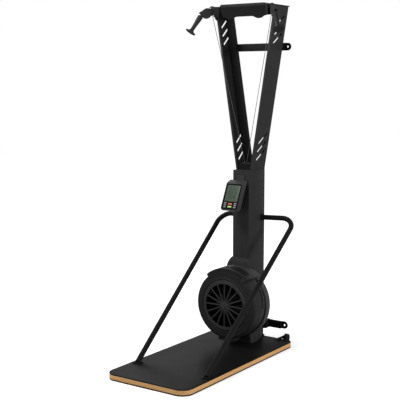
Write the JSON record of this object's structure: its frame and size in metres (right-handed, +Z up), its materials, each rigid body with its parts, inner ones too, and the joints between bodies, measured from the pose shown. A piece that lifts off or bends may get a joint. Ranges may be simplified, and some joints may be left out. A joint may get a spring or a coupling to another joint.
{
  "type": "standing ski trainer",
  "caption": "Standing ski trainer with a low platform, a column with spreading arms, an air fan, corded pull handles, hand rails and a console.",
  "frame": {"origin": "on the floor, under the middle of the column, on the platform's underside", "axes": "+Z up; +X to the right of a user who faces the column; -Y from the column towards that user"},
  "size_m": [0.7219, 1.308, 2.2748],
  "materials": {
    "black_paint": "black powder coat",
    "dark_paint": "black powder coat",
    "black_plastic": "fine matt texture",
    "grey_plastic": "satin",
    "rubber": "matt grip rubber",
    "plywood": "birch plywood, clear edge",
    "steel": "zinc plated",
    "cord": "braided cord",
    "grey_key": "moulded rubber key",
    "red_key": "moulded rubber key",
    "green_key": "moulded rubber key",
    "screen": "grey-green liquid crystal panel"
  },
  "bodies": {
    "frame": {"base_underlay": "rubber", "base_board": "plywood", "base_mat": "rubber", "column_foot_plate": "dark_paint", "column": "black_paint", "column_top_plate": "black_paint", "pedestal_cover": "black_plastic", "left_arm": "black_paint", "right_arm": "black_paint", "head_top_cover": "black_plastic", "head_fascia": "black_plastic", "head_rear_panel": "dark_paint", "upper_wall_bar": "dark_paint", "lower_wall_bar": "dark_paint", "left_rail": "dark_paint", "right_rail": "dark_paint", "fan_front_shell": "black_plastic", "fan_back_shell": "grey_plastic", "fan_outlet_grating": "black_plastic", "fan_grille": "grey_plastic", "front_axle_bearing": "steel", "rear_axle_bearing": "steel", "neck_cover": "grey_plastic", "guide_bracket": "dark_paint", "left_cord": "cord", "right_cord": "cord", "console_bracket": "grey_plastic", "left_wheel_bracket": "dark_paint", "right_wheel_bracket": "dark_paint"},
    "fan": {"fan_impeller": "black_plastic", "fan_axle": "steel"},
    "damper": {"damper_shutter": "grey_plastic"},
    "console": {"console_body": "grey_plastic", "console_screen": "screen"},
    "stop_key": {"stop_key": "red_key"},
    "start_key": {"start_key": "green_key"},
    "left_key_1": {"left_key_1": "grey_key"},
    "left_key_2": {"left_key_2": "grey_key"},
    "left_key_3": {"left_key_3": "grey_key"},
    "right_key_1": {"right_key_1": "grey_key"},
    "right_key_2": {"right_key_2": "grey_key"},
    "right_key_3": {"right_key_3": "grey_key"},
    "left_pod": {"left_pod": "black_paint", "left_pod_pin": "steel"},
    "left_pod_pulley": {"left_pod_pulley": "grey_plastic"},
    "left_handle": {"left_handle": "grey_plastic", "left_handle_ferrule": "steel"},
    "left_guide_pulley": {"left_guide_pulley": "grey_plastic"},
    "left_cord_drum": {"left_cord_drum": "grey_plastic"},
    "left_wheel": {"left_wheel": "rubber"},
    "right_pod": {"right_pod": "black_paint", "right_pod_pin": "steel"},
    "right_pod_pulley": {"right_pod_pulley": "grey_plastic"},
    "right_handle": {"right_handle": "grey_plastic", "right_handle_ferrule": "steel"},
    "right_guide_pulley": {"right_guide_pulley": "grey_plastic"},
    "right_cord_drum": {"right_cord_drum": "grey_plastic"},
    "right_wheel": {"right_wheel": "rubber"}
  },
  "joints": [
    {"name": "fan_spin", "type": "hinge", "parent": "frame", "child": "fan", "pos_m": [0, -0.215, 0.32], "axis": [0, 1, 0], "continuous": true},
    {"name": "damper_turn", "type": "hinge", "parent": "frame", "child": "damper", "pos_m": [0, -0.172, 0.32], "axis": [0, 1, 0], "range_deg": [0, 30]},
    {"name": "console_tilt", "type": "hinge", "parent": "frame", "child": "console", "pos_m": [0, -0.13705, 1.08008], "axis": [1, 0, 0], "range_deg": [-20, 20]},
    {"name": "stop_key_press", "type": "slide", "parent": "console", "child": "stop_key", "axis": [0, 0.9085, -0.4179], "range_m": [0, 0.001], "stiffness_N_per_m": 400, "springref_m": -0.001},
    {"name": "start_key_press", "type": "slide", "parent": "console", "child": "start_key", "axis": [0, 0.9085, -0.4179], "range_m": [0, 0.001], "stiffness_N_per_m": 400, "springref_m": -0.001},
    {"name": "left_key_1_press", "type": "slide", "parent": "console", "child": "left_key_1", "axis": [0, 0.9085, -0.4179], "range_m": [0, 0.001], "stiffness_N_per_m": 400, "springref_m": -0.001},
    {"name": "left_key_2_press", "type": "slide", "parent": "console", "child": "left_key_2", "axis": [0, 0.9085, -0.4179], "range_m": [0, 0.001], "stiffness_N_per_m": 400, "springref_m": -0.001},
    {"name": "left_key_3_press", "type": "slide", "parent": "console", "child": "left_key_3", "axis": [0, 0.9085, -0.4179], "range_m": [0, 0.001], "stiffness_N_per_m": 400, "springref_m": -0.001},
    {"name": "right_key_1_press", "type": "slide", "parent": "console", "child": "right_key_1", "axis": [0, 0.9085, -0.4179], "range_m": [0, 0.001], "stiffness_N_per_m": 400, "springref_m": -0.001},
    {"name": "right_key_2_press", "type": "slide", "parent": "console", "child": "right_key_2", "axis": [0, 0.9085, -0.4179], "range_m": [0, 0.001], "stiffness_N_per_m": 400, "springref_m": -0.001},
    {"name": "right_key_3_press", "type": "slide", "parent": "console", "child": "right_key_3", "axis": [0, 0.9085, -0.4179], "range_m": [0, 0.001], "stiffness_N_per_m": 400, "springref_m": -0.001},
    {"name": "left_pod_swivel", "type": "hinge", "parent": "frame", "child": "left_pod", "pos_m": [-0.228, -0.108, 2.256], "axis": [0, 0, 1], "range_deg": [-45, 45]},
    {"name": "left_handle_pull", "type": "slide", "parent": "left_pod", "child": "left_handle", "axis": [-0.3389, -0.4498, -0.8263], "range_m": [0, 1.5], "stiffness_N_per_m": 5, "springref_m": -3},
    {"name": "left_pod_pulley_turn", "type": "hinge", "parent": "left_pod", "child": "left_pod_pulley", "pos_m": [-0.25207, -0.13995, 2.218], "axis": [0.7986, -0.6018, 0], "continuous": true},
    {"name": "left_guide_pulley_turn", "type": "hinge", "parent": "frame", "child": "left_guide_pulley", "pos_m": [-0.02, -0.04, 1.224], "axis": [0, 1, 0], "continuous": true},
    {"name": "left_cord_drum_turn", "type": "hinge", "parent": "frame", "child": "left_cord_drum", "pos_m": [0, -0.02, 0.32], "axis": [0, 1, 0], "continuous": true},
    {"name": "left_wheel_spin", "type": "hinge", "parent": "frame", "child": "left_wheel", "pos_m": [-0.229, 0.129, 0.042], "axis": [1, 0, 0], "continuous": true},
    {"name": "right_pod_swivel", "type": "hinge", "parent": "frame", "child": "right_pod", "pos_m": [0.228, -0.108, 2.256], "axis": [0, 0, 1], "range_deg": [-45, 45]},
    {"name": "right_handle_pull", "type": "slide", "parent": "right_pod", "child": "right_handle", "axis": [0.4119, -0.3841, -0.8263], "range_m": [0, 1.5], "stiffness_N_per_m": 5, "springref_m": -3},
    {"name": "right_pod_pulley_turn", "type": "hinge", "parent": "right_pod", "child": "right_pod_pulley", "pos_m": [0.25725, -0.13528, 2.218], "axis": [0.682, 0.7314, 0], "continuous": true},
    {"name": "right_guide_pulley_turn", "type": "hinge", "parent": "frame", "child": "right_guide_pulley", "pos_m": [0.02, -0.04, 1.224], "axis": [0, 1, 0], "continuous": true},
    {"name": "right_cord_drum_turn", "type": "hinge", "parent": "frame", "child": "right_cord_drum", "pos_m": [0, -0.058, 0.32], "axis": [0, 1, 0], "continuous": true},
    {"name": "right_wheel_spin", "type": "hinge", "parent": "frame", "child": "right_wheel", "pos_m": [0.229, 0.129, 0.042], "axis": [1, 0, 0], "continuous": true}
  ],
  "couplings": [
    {"joint": "left_pod_pulley_turn", "follows": "left_handle_pull", "rad_per_m": 45.455},
    {"joint": "left_guide_pulley_turn", "follows": "left_handle_pull", "rad_per_m": -58.824},
    {"joint": "left_cord_drum_turn", "follows": "left_handle_pull", "rad_per_m": -40.323},
    {"joint": "right_pod_pulley_turn", "follows": "right_handle_pull", "rad_per_m": 45.455},
    {"joint": "right_guide_pulley_turn", "follows": "right_handle_pull", "rad_per_m": 58.824},
    {"joint": "right_cord_drum_turn", "follows": "right_handle_pull", "rad_per_m": -40.323}
  ]
}
